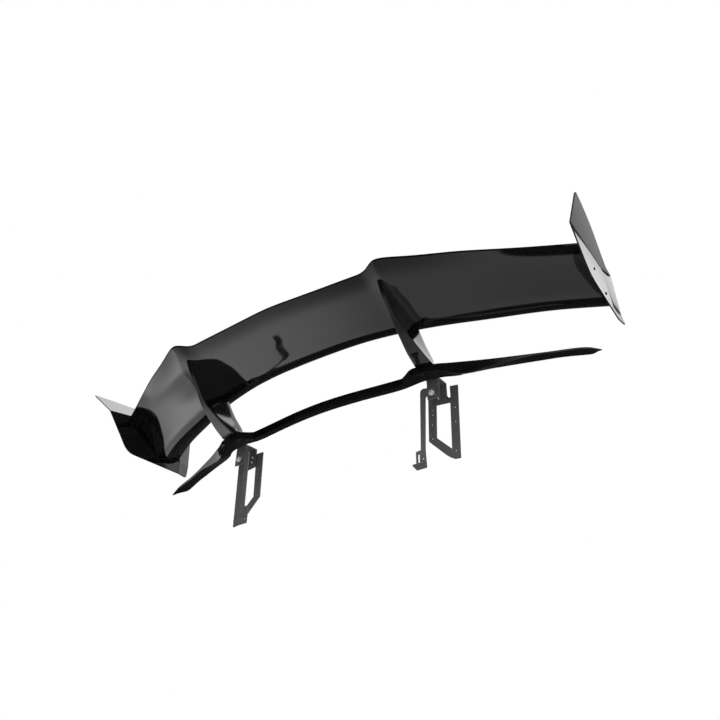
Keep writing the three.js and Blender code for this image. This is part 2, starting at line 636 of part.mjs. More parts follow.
// stay that swings on the pivot bolt: an arm, a long leg and a slotted foot
const STAY_NEAR = -2;
const stayOutline = [[349, -17], [352, -12], [352, 9], [348, 13], [322, 3], [317, 8], [309, 180], [311, 236],
  [281, 236], [281, 180], [296, 178], [302, -15], [304, -21], [309, -24.5], [314, -25]];
const FOOT_SLOT = [[286, 188], [292, 188], [292, 224], [286, 224]];
const stayToe = leaningPlate([[280.5, 232], [311.2, 232], [311.2, 236], [280.5, 236]], STAY_NEAR - 22, 23);
const STAY_BACK = STAY_NEAR - 0.5;
const WASHER = 1.6;
const NUT_ROOM = 0.2;
addPair('stay', cut(join(leaningPlate(stayOutline, STAY_BACK, STEEL + 0.5), stayToe),
  leaningPlate(FOOT_SLOT, STAY_NEAR - 5, 20), drill(PIVOT.x, 0, -20, 40, PIVOT_RADIUS + 0.15, 24),
  drill(302, 206, -20, 40, 3.2)), steel);
const washerSeat = STAY_BACK - WASHER - FIT;
addPair('pivot_bolt', bolt(onBracket(PIVOT.x, 0, washerSeat - FIT), pivotAxis, PIVOT_RADIUS, 20, 7, 5), zinc);
const washerBack = onBracket(PIVOT.x, 0, washerSeat);
addPair('pivot_washer', ring(washerBack, pivotAxis, WASHER, 9, PIVOT_RADIUS + NUT_ROOM), zinc);
const nutSeat = onBracket(PIVOT.x, 0, LEG_REAR + STEEL + FIT);
addPair('pivot_nut', ring(nutSeat, pivotAxis, 6, 7, PIVOT_RADIUS + NUT_ROOM, 6), zinc);

// bolts that clamp the upright blade, the base and the channel together
const footGrip = FOOT_FLOOR + STEEL - TONGUE_BOTTOM;
for (const [i, [x, y]] of FOOT_BOLTS.entries()) {
  const seat = [x, y, FOOT_FLOOR + STEEL + FIT];
  addPair(`foot_bolt_${i + 1}`, bolt(seat, down, FOOT_BOLT_RADIUS, footGrip, 5.4, 4), zinc);
}

export default wing;
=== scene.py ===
"""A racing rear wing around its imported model.

Lacquered shells, powder-coated brackets and plated fasteners.
"""
import json
import math

import bmesh
import bpy
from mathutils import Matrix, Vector


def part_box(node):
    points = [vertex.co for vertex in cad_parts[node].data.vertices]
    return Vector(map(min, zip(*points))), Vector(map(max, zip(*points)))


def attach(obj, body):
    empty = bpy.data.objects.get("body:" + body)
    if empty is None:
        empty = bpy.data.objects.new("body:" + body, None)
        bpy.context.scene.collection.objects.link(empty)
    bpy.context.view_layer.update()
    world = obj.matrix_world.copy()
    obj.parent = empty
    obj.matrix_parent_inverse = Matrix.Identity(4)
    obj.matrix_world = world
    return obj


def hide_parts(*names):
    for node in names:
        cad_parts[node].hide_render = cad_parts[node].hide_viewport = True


bl_info = {
    "name": "Racing Rear Wing",
    "version": (1, 0, 0),
    "blender": (4, 5, 0),
    "location": "3D View > Sidebar > Rear Wing",
    "description": "Builds a racing rear wing with end plates, uprights, deck lip and clamp brackets",
    "category": "Add Mesh",
}

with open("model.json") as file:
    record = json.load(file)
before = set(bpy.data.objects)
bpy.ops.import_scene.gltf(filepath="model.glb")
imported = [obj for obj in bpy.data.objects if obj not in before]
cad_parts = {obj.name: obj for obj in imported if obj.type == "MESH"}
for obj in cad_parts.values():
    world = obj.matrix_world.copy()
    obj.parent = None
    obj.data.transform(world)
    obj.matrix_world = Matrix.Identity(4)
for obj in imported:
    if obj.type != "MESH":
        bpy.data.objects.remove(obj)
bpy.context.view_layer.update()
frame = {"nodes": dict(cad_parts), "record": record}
BODY = "wing_assembly"
SIDES = ("right", "left")

# ---- plan and sections, in millimetres ----
WING_HALF = 835.5
WING_Z = 174.0
WING_TIP_RISE = 12.0
LEADING_EDGE = [(0, 0), (150, 6), (260, 28), (400, 78), (540, 151), (690, 230), (WING_HALF, 330)]
TRAILING_EDGE = [(0, -250), (120, -241), (245, -228), (290, -221), (312, -224), (343, -241),
                 (362, -238), (380, -230), (458, -182), (534, -140), (690, -38), (WING_HALF, 58)]
WING_STATIONS = [0, 75, 150, 210, 255, 285, 300, 315, 330, 345, 362, 385, 420, 470, 540, 610, 690,
                 765, WING_HALF]
SECTION_BLEND = (380, 760)

# aerofoil in chords: back from the leading edge, then heights of the centre lower, tip lower,
# centre upper and tip upper surfaces
SECTION = [
    (0.00, 0.030, 0.030, 0.030, 0.030),
    (0.02, -0.004, 0.000, 0.060, 0.062),
    (0.06, -0.040, -0.022, 0.086, 0.094),
    (0.13, -0.078, -0.062, 0.104, 0.116),
    (0.21, -0.090, -0.084, 0.113, 0.128),
    (0.30, -0.062, -0.077, 0.118, 0.138),
    (0.40, -0.020, -0.038, 0.125, 0.151),
    (0.50, 0.017, 0.022, 0.135, 0.173),
    (0.60, 0.050, 0.078, 0.147, 0.216),
    (0.68, 0.077, 0.122, 0.159, 0.264),
    (0.76, 0.103, 0.163, 0.174, 0.302),
    (0.84, 0.130, 0.198, 0.195, 0.308),
    (0.92, 0.172, 0.225, 0.222, 0.290),
    (1.00, 0.230, 0.240, 0.252, 0.262),
]

# base: x, rear top y and z, rear bottom y and z, front y and z, depth of the flat top
BASE_SECTIONS = [
    (0, -8, 26, -11, 0, 12, 0, 3),
    (80, -3, 26, -6, 0, 17, 0, 3),
    (160, 9, 26, 6, 0, 28, 0, 3),
    (230, 21, 26, 18, 0, 42, 0, 3),
    (262, 24, 26, 21, 2, 47, 2, 4),
    (280, 15, 28, 13, 4, 49, 4, 20),
    (296, 1, 30, -1, 6, 51, 6, 46),
    (314, -5, 30, -7, 8, 52, 8, 57),
    (345, 4, 30, 2, 8, 57, 8, 52),
    (378, 15, 30, 14, 8, 68, 8, 44),
    (396, 31, 31, 31, 7, 84, 9, 20),
    (420, 52, 34, 60, -4, 110, 16, 6),
    (460, 80, 36, 92, 6, 145, 28, 4),
    (500, 107, 38, 117, 16, 169, 34, 3),
    (540, 132, 40, 142, 26, 188, 36, 3),
    (580, 156, 42, 166, 36, 208, 38, 3),
    (620, 181, 44, 188, 40, 229, 40, 3),
    (660, 203, 45, 210, 41, 246, 41, 3),
    (700, 222, 46, 228, 42, 267, 41, 3),
    (735, 234, 43, 239, 39, 282, 38, 3),
    (757, 238, 37, 241, 33.5, 287, 34.5, 2),
    (772, 241, 29, 243, 26, 262, 27.5, 1.5),
    (787, 243, 20, 244, 18.3, 248, 19, 0.8),
]
BASE_SPLIT = 262
PART_LINE = 0.4
# edge of the flat top: its height, at most a share of the base's thickness, and its slope as a
# share of that height
LIP_EDGE = 2.5
LIP_SHARE = 0.3
LIP_SLOPE = 0.6
# points between two edges of a section, as shares of the way in depth and in height: on the
# underside, and between the flat top and the front
KNEE = (0.62, 0.55)
BROW = (0.6, 0.66)
# how sharp the base's long edges stay, by their point of the section
BASE_CREASES = {0: 0.75, 1: 0.75, 2: 0.3, 4: 0.7, 5: 0.7, 7: 0.85}

# upright: z, rear y inboard, rear centre x, rear width, front y, front centre x, front width
UPRIGHT_SECTIONS = [
    (30.6, -4, 346, 49, 54, 340, 46),
    (48, -48, 344, 42, 60, 341, 42),
    (66, -76, 342.5, 33, 66, 341.5, 38),
    (93, -122, 342, 20, 34, 342, 30),
    (130, -146, 337, 12, 12, 342, 26),
    (157, -166, 336, 12, -4, 341, 22),
    (190, -188, 336, 12, -8, 340, 20),
    (245, -204, 336, 12, -8, 340, 20),
]
# where it is wider than the fin, the rear face slants by this share of the difference
UPRIGHT_FIN = 12
UPRIGHT_SLANT = 0.35
# rear face: shares of the half width and of the slant, and millimetres forward
UPRIGHT_REAR = [(1, 1, 1), (0.8, 0.9, 0), (-0.8, 0, 0), (-1, 0, 1)]
# rounded front: shares of the half width and of the rounding's depth
UPRIGHT_FRONT = [(-1, 1), (-0.7, 0.35), (-0.25, 0), (0.25, 0), (0.7, 0.35), (1, 1)]
# depth of that rounding, at most a share of the half width
FRONT_DEPTH = 12
FRONT_SHARE = 0.9
# how sharp the edges up the rear face stay, by their point of the section
UPRIGHT_CREASES = {0: 0.4, 1: 0.6, 2: 0.6, 3: 0.5}

# the brackets lean back at their lower ends
BRACKET_LEAN = math.radians(13)
PIVOT_AXIS = Vector((0, math.cos(BRACKET_LEAN), -math.sin(BRACKET_LEAN)))
ACROSS = Vector((1, 0, 0))
UP = Vector((0, 0, 1))

# ---- fasteners, in metres; the sizes that a user may change are with the settings ----
HEXAGON = 6
ROUND = 24
SHANK_SIDES = 20
PIVOT_BOLT = {"head_radius": 0.007, "head_height": 0.005, "shank_radius": 0.004,
              "shank_length": 0.0198, "sides": HEXAGON}
FRAME_BOLT = {"head_height": 0.003, "shank_radius": 0.003, "shank_length": 0.0128, "sides": HEXAGON}
# the foot bolt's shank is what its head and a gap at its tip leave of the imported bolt
FOOT_BOLT = {"head_height": 0.004, "shank_radius": 0.003, "sides": HEXAGON}
FOOT_HEAD_AND_GAP = 0.0042
UPRIGHT_SCREW = {"head_height": 0.002, "shank_radius": 0.0022, "shank_length": 0.0078, "sides": ROUND}
PLATE_SCREW = {"head_height": 0.0016, "shank_radius": 0.0025, "shank_length": 0.0118, "sides": ROUND}
# heights in a bolt's head, as shares of the whole: the socket goes down, and the middle is the
# side's
HEAD_PARTS = {"side": 0.7, "chamfer": 0.3, "socket": -0.6, "middle": 0.35}

# ---- camera and lights: places and sizes in metres, turns in degrees, lens in millimetres ----
CAMERA_PLACE = (1.0852, -1.8313, -1.0294)
CAMERA_TURN = (119.3513, 5.9693, 30.3774)
CAMERA_LENS = 40
CAMERA_SENSOR = 36
MIDDLE = (0, 0.1, 0.1)
FLOOR_SIDES = 96
# name, place, the point it faces, width and height, brightness in reflections
SOFTBOXES = (
    ("backdrop_light", (-0.4, 3.6, 3.0), (-0.4, 0.1, 0.4), (4.8, 4.25), 0.9),
    ("overhead_light", (-0.2, 1.6, 2.6), MIDDLE, (3.4, 1.8), 1.35),
    ("right_light", (3.2, 3.2, 0.7), MIDDLE, (1.8, 1.5), 0.7),
    ("left_light", (-3.4, 0.6, -0.2), MIDDLE, (2.4, 3.2), 0.55),
    ("rear_light", (-1.0, -1.4, 2.3), MIDDLE, (1.1, 1.1), 4.0),
)

# ---- small measures, in metres ----
MERGE_GAP = 1e-5
BOLT_MERGE_GAP = 1e-7
END_FACE_GAP = 1e-4
# a noise mostly lies between these
NOISE_LOW, NOISE_HIGH = 0.35, 0.65


# ---- settings ----
def linear(hex_colour):
    """An sRGB hex colour as linear red, green and blue."""
    channels = [int(hex_colour[i:i + 2], 16) / 255 for i in (0, 2, 4)]
    return tuple(c / 12.92 if c <= 0.04045 else ((c + 0.055) / 1.055) ** 2.4 for c in channels)


class RearWingSizes(bpy.types.PropertyGroup):
    """Sizes that shape the visible surfaces"""
    smoothness: bpy.props.IntProperty(
        name="Smoothness", description="Subdivision steps of the shells",
        default=3, min=1, max=4)
    plate_edge: bpy.props.FloatProperty(
        name="Plate edge", description="Rounding of the end plates' edges",
        default=0.0014, unit="LENGTH")
    sheet_edge: bpy.props.FloatProperty(
        name="Sheet edge", description="Rounding of the bracket sheet's edges",
        default=0.0006, unit="LENGTH")
    bolt_head: bpy.props.FloatProperty(
        name="Bolt head", description="Radius of the bracket bolts' heads",
        default=0.0052, unit="LENGTH")
    screw_head: bpy.props.FloatProperty(
        name="Screw head", description="Radius of the small screws' heads",
        default=0.0044, unit="LENGTH")


class RearWingColours(bpy.types.PropertyGroup):
    """Colours of the finishes"""
    lacquer: bpy.props.FloatVectorProperty(
        name="Lacquer", description="Gloss black of the shells",
        subtype="COLOR", default=linear("08090A"))
    powder: bpy.props.FloatVectorProperty(
        name="Powder coat", description="Dark grey of the brackets",
        subtype="COLOR", default=linear("474849"))
    zinc: bpy.props.FloatVectorProperty(
        name="Zinc plate", description="Colour of the plated bolts",
        subtype="COLOR", default=linear("D3D6DA"))
    aluminium: bpy.props.FloatVectorProperty(
        name="Aluminium", description="Inner spar, ribs and blades",
        subtype="COLOR", default=linear("A9ADB2"))
    oxide: bpy.props.FloatVectorProperty(
        name="Black oxide", description="End-plate screws",
        subtype="COLOR", default=linear("1A1B1D"))
    rubber: bpy.props.FloatVectorProperty(
        name="Rubber", description="Gaskets under the uprights",
        subtype="COLOR", default=linear("161616"))


class RearWingStage(bpy.types.PropertyGroup):
    """Floor, backdrop and light"""
    floor_drop: bpy.props.FloatProperty(
        name="Floor drop", description="Height of the floor",
        default=-1.45, unit="LENGTH")
    floor_radius: bpy.props.FloatProperty(
        name="Floor radius", description="Radius of the round floor",
        default=2.6, unit="LENGTH")
    floor_colour: bpy.props.FloatVectorProperty(
        name="Floor", description="Pale floor paint",
        subtype="COLOR", default=linear("F1F1F0"))
    backdrop: bpy.props.FloatProperty(
        name="Backdrop", description="Brightness of the white surroundings",
        default=1.0)
    shade: bpy.props.FloatProperty(
        name="Shade", description="Brightness of the dark room that the gloss mirrors",
        default=0.03)
    strip_left: bpy.props.FloatProperty(
        name="Strip, left", description="Brightness of the strip light's left end",
        default=1.05)
    strip_right: bpy.props.FloatProperty(
        name="Strip, right", description="Brightness of the strip light's right end",
        default=0.5)


# ---- node and material helpers ----
def add(tree, kind, inputs=None, **settings):
    """Adds a node; inputs maps socket names to values or to the sockets that feed them."""
    new = tree.nodes.new(kind)
    for key, value in settings.items():
        setattr(new, key, value)
    for key, value in (inputs or {}).items():
        if isinstance(value, bpy.types.NodeSocket):
            tree.links.new(value, new.inputs[key])
        else:
            new.inputs[key].default_value = value
    return new


def shader_tree(name, fixed=None):
    """A new material and its tree, whose one Principled shader takes the fixed values."""
    material = bpy.data.materials.new(name)
    material.use_nodes = True
    for socket, value in (fixed or {}).items():
        material.node_tree.nodes["Principled BSDF"].inputs[socket].default_value = value
    return material, material.node_tree


def grain(tree, millimetres, detail=2.0):
    """Noise on object coordinates whose features are about this many millimetres across."""
    place = add(tree, "ShaderNodeTexCoord")
    return add(tree, "ShaderNodeTexNoise", {
        "Vector": place.outputs["Object"], "Scale": 1000 / millimetres, "Detail": detail,
    }).outputs["Fac"]


def vary(tree, colour, lighter, patches, roughness=None, speckle=None, relief=None):
    """Feeds a material's shader from noises.

    Patches vary the colour towards one `lighter` times as bright. Speckle, or else the patches, sets
    a roughness between two values. Relief is a noise, its height in millimetres and its strength.
    """
    shader = tree.nodes["Principled BSDF"]
    tint = add(tree, "ShaderNodeMix", {"Factor": patches}, data_type="RGBA")
    tint.inputs[6].default_value = (*colour, 1)
    tint.inputs[7].default_value = (*[c * lighter for c in colour], 1)
    tree.links.new(tint.outputs[2], shader.inputs["Base Color"])
    if roughness:
        gloss = add(tree, "ShaderNodeMapRange", {
            "Value": patches if speckle is None else speckle, "From Min": NOISE_LOW,
            "From Max": NOISE_HIGH, "To Min": roughness[0], "To Max": roughness[1]})
        tree.links.new(gloss.outputs["Result"], shader.inputs["Roughness"])
    if relief:
        noise, height, strength = relief
        bump = add(tree, "ShaderNodeBump",
                   {"Height": noise, "Distance": height / 1000, "Strength": strength})
        tree.links.new(bump.outputs["Normal"], shader.inputs["Normal"])


def piano_lacquer():
    """Sprayed and polished two-pack lacquer over laminate: mirror gloss with a trace of orange peel."""
    material, tree = shader_tree("polished_black_lacquer", {
        "IOR": 1.5, "Coat Weight": 0.6, "Coat Roughness": 0.03, "Coat IOR": 1.5})
    vary(tree, bpy.context.scene.rear_wing_colours.lacquer, 1.5, grain(tree, 60.0),
         roughness=(0.06, 0.11), relief=(grain(tree, 9.0, detail=1.0), 0.01, 0.1))
    return material


def powder_coat():
    """Satin polyester powder on laser-cut steel: soft sheen and a fine pebble.

    The pebble is drawn coarse enough to show.
    """
    material, tree = shader_tree("satin_powder_coat", {"IOR": 1.5})
    pebble = grain(tree, 1.6)
    vary(tree, bpy.context.scene.rear_wing_colours.powder, 1.35, grain(tree, 25.0),
         roughness=(0.38, 0.52), speckle=pebble, relief=(pebble, 0.05, 0.3))
    return material


def zinc_plate():
    """Bright passivated zinc on steel bolts: pale metal with slight clouding."""
    material, tree = shader_tree("bright_zinc_plate", {"Metallic": 0.35})
    darkest = [c * 0.85 for c in bpy.context.scene.rear_wing_colours.zinc]
    vary(tree, darkest, 1.17, grain(tree, 2.5), roughness=(0.2, 0.34))
    return material


def mill_aluminium():
    """Rolled aluminium sheet and section: fine lines along the rolling direction."""
    material, tree = shader_tree("mill_aluminium", {"Metallic": 1.0})
    place = add(tree, "ShaderNodeTexCoord")
    # 20 and 900 a metre: lines about 50 mm long and 1 mm wide
    along = add(tree, "ShaderNodeMapping", {"Vector": place.outputs["Object"], "Scale": (20, 900, 900)})
    lines = add(tree, "ShaderNodeTexNoise",
                {"Vector": along.outputs["Vector"], "Scale": 1.0, "Detail": 2.0})
    darkest = [c * 0.85 for c in bpy.context.scene.rear_wing_colours.aluminium]
    vary(tree, darkest, 1.2, lines.outputs["Fac"], roughness=(0.3, 0.45))
    return material


def black_oxide():
    """Oiled black oxide on the socket screws: dark, with a dull metal glint."""
    material, tree = shader_tree("black_oxide_steel", {"Metallic": 0.7})
    vary(tree, bpy.context.scene.rear_wing_colours.oxide, 1.6, grain(tree, 1.5), roughness=(0.3, 0.45))
    return material


def gasket_rubber():
    """Die-cut EPDM sheet: matt black with a fine cloth-like grain."""
    material, tree = shader_tree("epdm_gasket_rubber")
    skin = grain(tree, 0.8)
    vary(tree, bpy.context.scene.rear_wing_colours.rubber, 1.5, skin, roughness=(0.75, 0.9),
         relief=(skin, 0.05, 0.4))
    return material


FINISHES = {
    "gloss_black_shell": piano_lacquer,
    "satin_bracket_steel": powder_coat,
    "zinc_fasteners": zinc_plate,
    "inner_aluminium": mill_aluminium,
    "black_screws": black_oxide,
    "gasket_rubber": gasket_rubber,
}
made = {}


def finish(slot):
    """The material of one of the record's slots, made once."""
    if slot not in made:
        made[slot] = FINISHES[slot]()
    return made[slot]


# ---- mesh helpers ----
def through(points, x):
    """Value at x of a smooth curve through (x, value) points."""
    i = 0
    while i < len(points) - 2 and x > points[i + 1][0]:
        i += 1
    a, b = points[i], points[i + 1]
    before = points[i - 1] if i else a
    after = points[i + 2] if i + 2 < len(points) else b
    span = b[0] - a[0]
    slope_a = (b[1] - before[1]) / (b[0] - before[0])
    slope_b = (after[1] - a[1]) / (after[0] - a[0])
    t = (x - a[0]) / span
    return ((2 * t ** 3 - 3 * t ** 2 + 1) * a[1] + (t ** 3 - 2 * t ** 2 + t) * span * slope_a
            + (3 * t ** 2 - 2 * t ** 3) * b[1] + (t ** 3 - t ** 2) * span * slope_b)


def flat_mesh(obj):
    """Turns an object with modifiers into its plain mesh, and drops the modifiers."""
    bpy.context.view_layer.update()
    evaluated = obj.evaluated_get(bpy.context.evaluated_depsgraph_get())
    mesh = bpy.data.meshes.new_from_object(evaluated)
    obj.modifiers.clear()
    old = obj.data
    obj.data = mesh
    bpy.data.meshes.remove(old)
    mesh.name = obj.name


def new_object(name, bm):
    """An object at the origin from a bmesh given in metres."""
    mesh = bpy.data.meshes.new(name)
    bm.to_mesh(mesh)
    bm.free()
    obj = bpy.data.objects.new(name, mesh)
    bpy.context.scene.collection.objects.link(obj)
    return obj


def close_ends(obj):
    """Caps the open ends of a lofted skin and points every face out."""
    bm = bmesh.new()
    bm.from_mesh(obj.data)
    rim = [e for e in bm.edges if e.is_boundary]
    caps = bmesh.ops.holes_fill(bm, edges=rim, sides=0)["faces"]
    bmesh.ops.triangulate(bm, faces=caps, ngon_method="EAR_CLIP")
    bmesh.ops.recalc_face_normals(bm, faces=bm.faces)
    bm.to_mesh(obj.data)
    bm.free()


def shade(obj, degrees=32):
    """Smooth shading that breaks at edges sharper than this."""
    obj.data.shade_smooth()
    obj.data.set_sharp_from_angle(angle=math.radians(degrees))


def lofted(name, loops, creases, levels):
    """A smooth closed skin over a cage of loops in millimetres.

    Creases maps a point of the loops to the sharpness of the edge that runs through it.
    """
    bm = bmesh.new()
    sharp = bm.edges.layers.float.new("crease_edge")
    rows = [[bm.verts.new([v / 1000 for v in point]) for point in loop] for loop in loops]
    count = len(rows[0])
    for near, far in zip(rows, rows[1:]):
        for p in range(count):
            q = (p + 1) % count
            bm.faces.new((near[p], near[q], far[q], far[p]))
    for near, far in zip(rows, rows[1:]):
        for p, amount in creases.items():
            bm.edges.get((near[p], far[p]))[sharp] = amount
    obj = new_object(name, bm)
    smooth = obj.modifiers.new("Smooth", "SUBSURF")
    smooth.levels = smooth.render_levels = levels
    smooth.boundary_smooth = "ALL"
    flat_mesh(obj)
    close_ends(obj)
    shade(obj)
    return obj


def refined(name, nodes, edge, segments=2, fold=40):
    """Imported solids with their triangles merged, flats joined and edges rounded.

    Only edges that fold by more than an angle are rounded, and gentler folds are shaded smooth.
    """
    bm = bmesh.new()
    for node in nodes:
        bm.from_mesh(frame["nodes"][node].data)
    bmesh.ops.remove_doubles(bm, verts=bm.verts, dist=MERGE_GAP)
    bmesh.ops.dissolve_limit(bm, angle_limit=math.radians(1), verts=bm.verts, edges=bm.edges)
    obj = new_object(name, bm)
    rounding = obj.modifiers.new("Rounding", "BEVEL")
    rounding.width = edge
    rounding.segments = segments
    rounding.limit_method = "ANGLE"
    rounding.angle_limit = math.radians(fold)
    rounding.harden_normals = True
    shade(obj, fold)
    flat_mesh(obj)
    return obj


def settle(obj, slot, *nodes, body=BODY):
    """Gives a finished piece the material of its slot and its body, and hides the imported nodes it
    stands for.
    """
    obj.data.materials.clear()
    obj.data.materials.append(finish(slot))
    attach(obj, body)
    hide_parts(*nodes)


def mirrored(loops):
    """The loops of the left side, from those of the right."""
    return [[(-x, y, z) for x, y, z in loop] for loop in loops]


# ---- shapes of the shells ----
def wing_loop(x):
    """One wing section: lower surface from the nose back, then the upper surface forward."""
    front = through(LEADING_EDGE, abs(x))
    chord = front - through(TRAILING_EDGE, abs(x))
    z = WING_Z + WING_TIP_RISE * (x / WING_HALF) ** 2
    t = min(max((abs(x) - SECTION_BLEND[0]) / (SECTION_BLEND[1] - SECTION_BLEND[0]), 0), 1)
    blend = t * t * (3 - 2 * t)
    lower, upper = [], []
    for back, low_mid, low_tip, high_mid, high_tip in SECTION:
        y = front - back * chord
        lower.append((x, y, z + (low_mid + (low_tip - low_mid) * blend) * chord))
        upper.append((x, y, z + (high_mid + (high_tip - high_mid) * blend) * chord))
    return lower + upper[:0:-1]


def base_loop(row):
    """One base section: rear top, top front edge, nose, flat underside, rear bottom."""
    x, top_y, top_z, low_y, low_z, front_y, front_z, flat = row
    thin = min(LIP_EDGE, (top_z - low_z) * LIP_SHARE)
    corner_y = top_y + thin * LIP_SLOPE
    knee = (low_y + (front_y - low_y) * KNEE[0], low_z + (front_z - low_z) * KNEE[1])
    brow = (top_y + flat + (front_y - top_y - flat) * BROW[0],
            top_z + (front_z + thin - top_z) * BROW[1])
    return [(x, top_y, top_z - thin), (x, corner_y, top_z), (x, corner_y + flat, top_z), (x, *brow),
            (x, front_y, front_z + thin), (x, front_y, front_z), (x, *knee), (x, low_y, low_z)]


def upright_loop(row):
    """One upright section: slanted rear face, flat walls, rounded front."""
    z, rear_y, rear_x, rear_width, front_y, front_x, front_width = row
    half_rear, half_front = rear_width / 2, front_width / 2
    slant = (rear_width - UPRIGHT_FIN) * UPRIGHT_SLANT
    depth = min(half_front * FRONT_SHARE, FRONT_DEPTH)
    rear = [(rear_x + half_rear * wide, rear_y + slant * lean + step, z)
            for wide, lean, step in UPRIGHT_REAR]
    front = [(front_x + half_front * wide, front_y - depth * deep, z) for wide, deep in UPRIGHT_FRONT]
    return rear + front


def keep_lowest_piece(obj):
    """Drops every loose piece but the one that reaches lowest."""
    bm = bmesh.new()
    bm.from_mesh(obj.data)
    lowest = min(bm.verts, key=lambda v: v.co.z)
    kept, front = {lowest}, [lowest]
    while front:
        for edge in front.pop().link_edges:
            for vert in edge.verts:
                if vert not in kept:
                    kept.add(vert)
                    front.append(vert)
    bmesh.ops.delete(bm, geom=[v for v in bm.verts if v not in kept], context="VERTS")
    bm.to_mesh(obj.data)
    bm.free()


# ---- fasteners ----
def head_centre(node, outward):
    """Centre of a packed fastener's end face on the side that faces outward."""
    corners = {tuple(round(c, 5) for c in v.co) for v in frame["nodes"][node].data.vertices}
    reach = max(Vector(c).dot(outward) for c in corners)
    end = [Vector(c) for c in corners if reach - Vector(c).dot(outward) < END_FACE_GAP]
    return sum(end, Vector()) / len(end)


def bolt_tree():
    """Geometry nodes that set a socket-head bolt on every point, along its `axis`."""
    tree = bpy.data.node_groups.new("Bolts on points", "GeometryNodeTree")
    tree.interface.new_socket("Points", in_out="INPUT", socket_type="NodeSocketGeometry")
    # the inputs start at the pivot bolt's sizes, which are in the same order
    labels = ("Head Radius", "Head Height", "Shank Radius", "Shank Length", "Sides")
    for label, default in zip(labels, PIVOT_BOLT.values()):
        kind = "NodeSocketInt" if label == "Sides" else "NodeSocketFloat"
        socket = tree.interface.new_socket(label, in_out="INPUT", socket_type=kind)
        socket.default_value = default
    tree.interface.new_socket("Finish", in_out="INPUT", socket_type="NodeSocketMaterial")
    tree.interface.new_socket("Bolts", in_out="OUTPUT", socket_type="NodeSocketGeometry")
    given = add(tree, "NodeGroupInput").outputs

    def lifted(mesh, height):
        shift = add(tree, "ShaderNodeCombineXYZ", {"Z": height}).outputs[0]
        return add(tree, "GeometryNodeTransform", {"Geometry": mesh, "Translation": shift}).outputs[0]

    def raised(mesh, face, height, scale):
        grown = add(tree, "GeometryNodeExtrudeMesh",
                    {"Mesh": mesh, "Selection": face, "Offset Scale": height, "Individual": False})
        sized = add(tree, "GeometryNodeScaleElements", {
            "Geometry": grown.outputs["Mesh"], "Selection": grown.outputs["Top"], "Scale": scale})
        return sized.outputs[0], grown.outputs["Top"]

    height = {part: add(tree, "ShaderNodeMath", {0: given["Head Height"], 1: share},
                        operation="MULTIPLY").outputs[0] for part, share in HEAD_PARTS.items()}
    half_shank = add(tree, "ShaderNodeMath", {0: given["Shank Length"], 1: -0.5}, operation="MULTIPLY")
    head = add(tree, "GeometryNodeMeshCylinder",
               {"Vertices": given["Sides"], "Radius": given["Head Radius"], "Depth": height["side"]})
    mesh, face = head.outputs["Mesh"], head.outputs["Top"]
    # the chamfer, the rim of the socket and its floor, each scaled from the face before it
    for rise, scale in ((height["chamfer"], 0.84), (0.0, 0.6), (height["socket"], 0.96)):
        mesh, face = raised(mesh, face, rise, scale)
    shank = add(tree, "GeometryNodeMeshCylinder", {
        "Vertices": SHANK_SIDES, "Radius": given["Shank Radius"], "Depth": given["Shank Length"]})
    both = add(tree, "GeometryNodeJoinGeometry")
    tree.links.new(lifted(mesh, height["middle"]), both.inputs[0])
    tree.links.new(lifted(shank.outputs["Mesh"], half_shank.outputs[0]), both.inputs[0])
    axis = add(tree, "GeometryNodeInputNamedAttribute", {"Name": "axis"}, data_type="FLOAT_VECTOR")
    turn = add(tree, "FunctionNodeAlignRotationToVector",
               {"Vector": axis.outputs["Attribute"]}, axis="Z")
    set_out = add(tree, "GeometryNodeInstanceOnPoints",
                  {"Points": given["Points"], "Instance": both.outputs[0], "Rotation": turn.outputs[0]})
    real = add(tree, "GeometryNodeRealizeInstances", {"Geometry": set_out.outputs[0]})
    dressed = add(tree, "GeometryNodeSetMaterial",
                  {"Geometry": real.outputs[0], "Material": given["Finish"]})
    add(tree, "NodeGroupOutput", {"Bolts": dressed.outputs[0]})
    return tree


def bolts(name, seats, slot, head_radius, head_height, shank_radius, shank_length, sides):
    """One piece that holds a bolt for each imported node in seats, a map of node to outward axis."""
    bm = bmesh.new()
    for node, outward in seats.items():
        bm.verts.new(head_centre(node, outward) - outward * head_height)
    obj = new_object(name, bm)
    axes = obj.data.attributes.new("axis", "FLOAT_VECTOR", "POINT")
    axes.data.foreach_set("vector", [c for outward in seats.values() for c in outward])
    modifier = obj.modifiers.new("Bolts", "NODES")
    modifier.node_group = bpy.data.node_groups.get("Bolts on points") or bolt_tree()
    values = {"Head Radius": head_radius, "Head Height": head_height, "Shank Radius": shank_radius,
              "Shank Length": shank_length, "Sides": sides, "Finish": finish(slot)}
    for item in modifier.node_group.interface.items_tree:
        if item.in_out == "INPUT" and item.name in values:
            modifier[item.identifier] = values[item.name]
    flat_mesh(obj)
    bm = bmesh.new()
    bm.from_mesh(obj.data)
    bmesh.ops.remove_doubles(bm, verts=bm.verts, dist=BOLT_MERGE_GAP)
    bmesh.ops.recalc_face_normals(bm, faces=bm.faces)
    bm.to_mesh(obj.data)
    bm.free()
    shade(obj, degrees=25)
    settle(obj, slot, *seats)


def both_sides(*names):
    """The right and the left node of each name."""
    return [f"{side}_{name}" for name in names for side in SIDES]


# ---- operators ----
class REARWING_OT_camera(bpy.types.Operator):
    """Place the camera low behind the right end of the wing"""
    bl_idname = "rear_wing.camera"
    bl_label = "Place Camera"

    def execute(self, context):
        data = bpy.data.cameras.new("Camera")
        data.lens = CAMERA_LENS
        data.sensor_width = CAMERA_SENSOR
        camera = bpy.data.objects.new("Camera", data)
        camera.location = CAMERA_PLACE
        camera.rotation_euler = [math.radians(a) for a in CAMERA_TURN]
        context.scene.collection.objects.link(camera)
        context.scene.camera = camera
        return {"FINISHED"}


